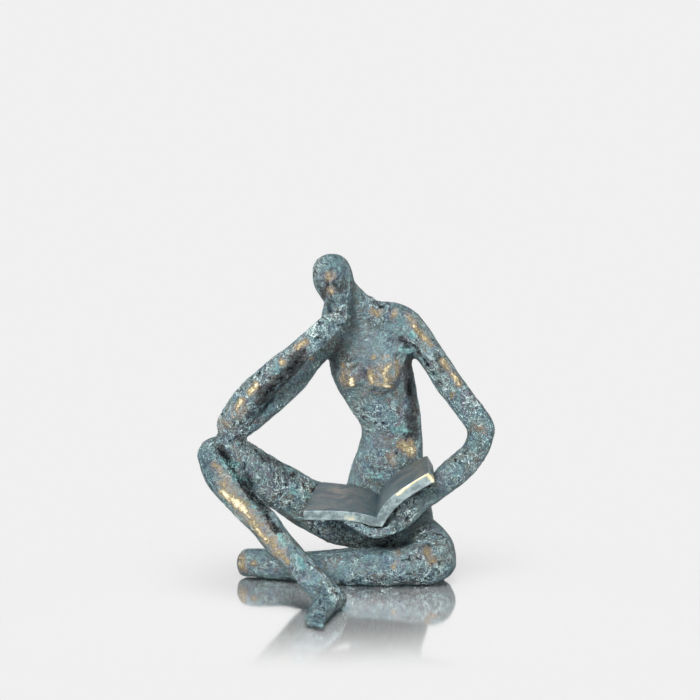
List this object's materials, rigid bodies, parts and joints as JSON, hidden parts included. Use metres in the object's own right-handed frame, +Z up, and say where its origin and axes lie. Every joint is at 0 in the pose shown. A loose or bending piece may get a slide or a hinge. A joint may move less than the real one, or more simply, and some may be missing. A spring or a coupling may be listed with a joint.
{
  "type": "reading figure sculpture",
  "caption": "Cast bronze sculpture of a slender seated figure reading an open book, chin propped on one hand, for a table or shelf.",
  "frame": {"origin": "centre of the outer box's underside, on the surface that the figure sits on", "axes": "+Z up, -Y towards the viewer of the open pages, +X to that viewer's right"},
  "size_m": [0.2678, 0.2413, 0.2975],
  "materials": {
    "patinated_bronze": "dark bronze under crusty blue-green verdigris, rubbed to gold on the high spots"
  },
  "bodies": {
    "root": {"reading_figure": "patinated_bronze"}
  },
  "joints": []
}
